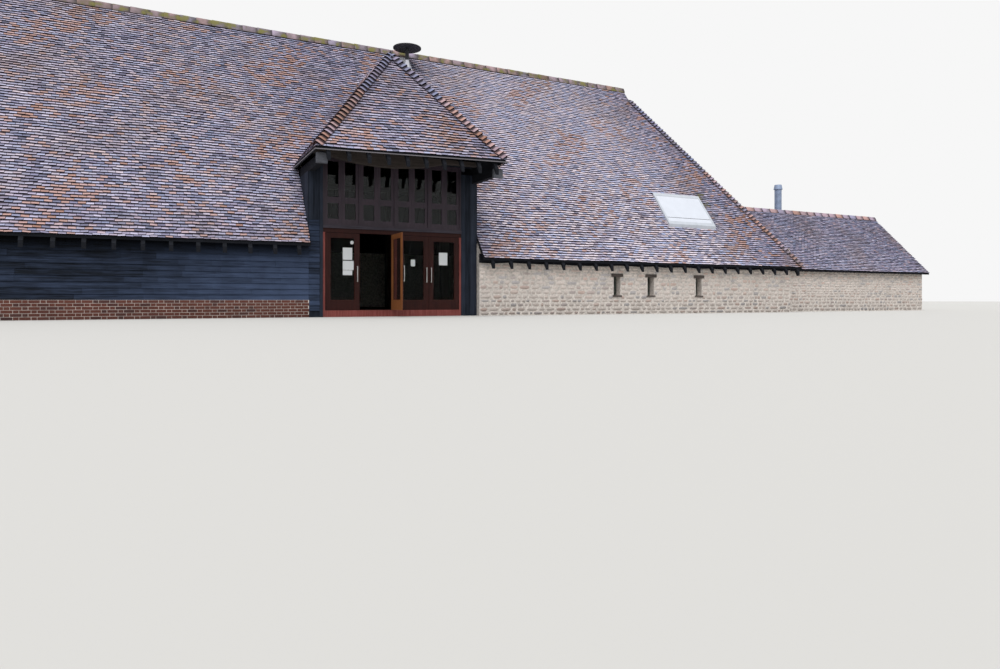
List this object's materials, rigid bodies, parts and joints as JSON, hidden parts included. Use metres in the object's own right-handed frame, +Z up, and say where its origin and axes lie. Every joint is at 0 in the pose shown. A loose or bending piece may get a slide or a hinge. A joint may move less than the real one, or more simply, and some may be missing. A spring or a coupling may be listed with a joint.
{
  "type": "barn",
  "caption": "Long tiled barn with hipped ends, a raised hipped cart entrance with glazed double doors, a boarded half, a stone half and a low wing.",
  "frame": {"origin": "on the ground under the middle of the cart entrance, in the plane of its front wall", "axes": "+X along the ridge towards the stone half and the wing, +Y into the barn, +Z up"},
  "size_m": [39.86, 12.4, 9.2099],
  "materials": {
    "clay_tiles": "matt, weathered",
    "black_boards": "tarred, satin",
    "rubble_stone": "rough, mortared",
    "red_brick": "rough",
    "concrete_floor": "worn",
    "old_oak": "rough, dark",
    "door_paint": "red-brown stain, satin",
    "window_paint": "dark brown stain, satin",
    "window_glass": "clear",
    "white_paint": "satin",
    "black_metal": "matt",
    "lead": "dull lead",
    "grey_metal": "dull grey",
    "pull_steel": "brushed"
  },
  "bodies": {
    "barn": {"floor_slab": "concrete_floor", "brick_plinth": "red_brick", "front_wall_boarded": "black_boards", "rear_wall_boarded": "black_boards", "left_end_wall": "black_boards", "front_wall_stone": "rubble_stone", "rear_wall_stone": "rubble_stone", "right_end_wall": "rubble_stone", "front_roof_left": "clay_tiles", "front_roof_right": "clay_tiles", "rear_roof": "clay_tiles", "hip_roofs": "clay_tiles", "gablets": "black_boards", "ridge_tiles": "clay_tiles", "hip_tiles": "clay_tiles", "front_rafters": "old_oak", "rear_rafters": "old_oak", "end_rafters": "old_oak", "porch_roof": "clay_tiles", "porch_hip_tiles": "clay_tiles", "porch_plates": "old_oak", "porch_beam": "old_oak", "porch_wall_left": "black_boards", "porch_wall_right": "black_boards", "porch_cheeks": "black_boards", "door_posts": "door_paint", "door_head": "door_paint", "door_sill": "door_paint", "drip_board": "window_paint", "window_frame": "window_paint", "window_casements": "window_paint", "window_glass": "window_glass", "rooflight_frame": "white_paint", "vent_cowl": "black_metal", "vent_slate": "lead", "arcade_posts": "old_oak", "arcade_plates": "old_oak", "tie_beams": "old_oak", "tie_braces": "old_oak", "purlins": "old_oak", "collars": "old_oak", "wing_roof": "clay_tiles", "wing_ridge_tiles": "clay_tiles", "wing_walls": "rubble_stone", "wing_flue": "grey_metal"},
    "leaf_1": {"door_leaf_1": "door_paint", "door_glass_1": "window_glass", "door_handle_1": "pull_steel"},
    "leaf_2": {"door_leaf_2": "door_paint", "door_glass_2": "window_glass", "door_handle_2": "pull_steel"},
    "leaf_3": {"door_leaf_3": "door_paint", "door_glass_3": "window_glass", "door_handle_3": "pull_steel"},
    "leaf_4": {"door_leaf_4": "door_paint", "door_glass_4": "window_glass", "door_handle_4": "pull_steel"}
  },
  "joints": [
    {"name": "door_hinge_1", "type": "hinge", "parent": "barn", "child": "leaf_1", "pos_m": [-1.907, 0.012, 1.2], "axis": [0, 0, -1], "range_deg": [0, 90]},
    {"name": "door_hinge_2", "type": "hinge", "parent": "barn", "child": "leaf_2", "pos_m": [-0.063, 0.012, 1.2], "axis": [0, 0, 1], "range_deg": [-90, 0]},
    {"name": "door_hinge_3", "type": "hinge", "parent": "barn", "child": "leaf_3", "pos_m": [0.063, 0.012, 1.2], "axis": [0, 0, -1], "range_deg": [0, 90]},
    {"name": "door_hinge_4", "type": "hinge", "parent": "barn", "child": "leaf_4", "pos_m": [1.907, 0.012, 1.2], "axis": [0, 0, 1], "range_deg": [0, 90]}
  ]
}
